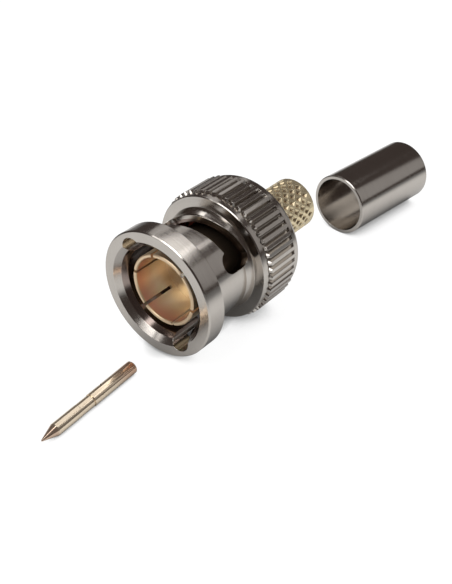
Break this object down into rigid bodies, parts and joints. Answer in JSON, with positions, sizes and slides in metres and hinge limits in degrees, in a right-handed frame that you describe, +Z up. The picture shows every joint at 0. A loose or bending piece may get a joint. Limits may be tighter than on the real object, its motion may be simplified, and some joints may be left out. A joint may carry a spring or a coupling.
{
  "type": "video connector",
  "caption": "Quarter-turn bayonet coaxial video plug with slotted coupling nut, spring-finger contact, knurled crimp barrel, and its loose ferrule and centre pin.",
  "frame": {"origin": "centre of the coupling nut's front face, on the plug's axis, where the socket is met", "axes": "+X along the plug's axis, from the mating face towards the cable; +Z up, away from the surface the plug lies on"},
  "size_m": [0.0642, 0.0152, 0.0152],
  "materials": {
    "nickel_plate": "bright nickel plate on turned brass",
    "gold_plate": "thin gold plate on turned brass",
    "white_insulator": "turned white fluoropolymer",
    "silicone_rubber": "moulded red silicone",
    "spring_bronze": "rolled phosphor bronze strip"
  },
  "bodies": {
    "plug": {"plug_body": "gold_plate", "outer_contact": "gold_plate", "insulator": "white_insulator", "gasket": "silicone_rubber", "wave_washer_front": "spring_bronze", "wave_washer_rear": "spring_bronze", "retaining_ring": "spring_bronze", "crimp_ferrule": "nickel_plate", "centre_pin": "gold_plate"},
    "washer": {"thrust_washer": "nickel_plate"},
    "nut": {"coupling_nut": "nickel_plate"}
  },
  "joints": [
    {"name": "nut_pull", "type": "slide", "parent": "plug", "child": "washer", "axis": [-1, 0, 0], "range_m": [0, 0.0005], "stiffness_N_per_m": 6000, "deforming": ["wave_washer_front", "wave_washer_rear"]},
    {"name": "nut_turn", "type": "hinge", "parent": "washer", "child": "nut", "pos_m": [0.0076, 0, 0], "axis": [1, 0, 0], "continuous": true}
  ]
}
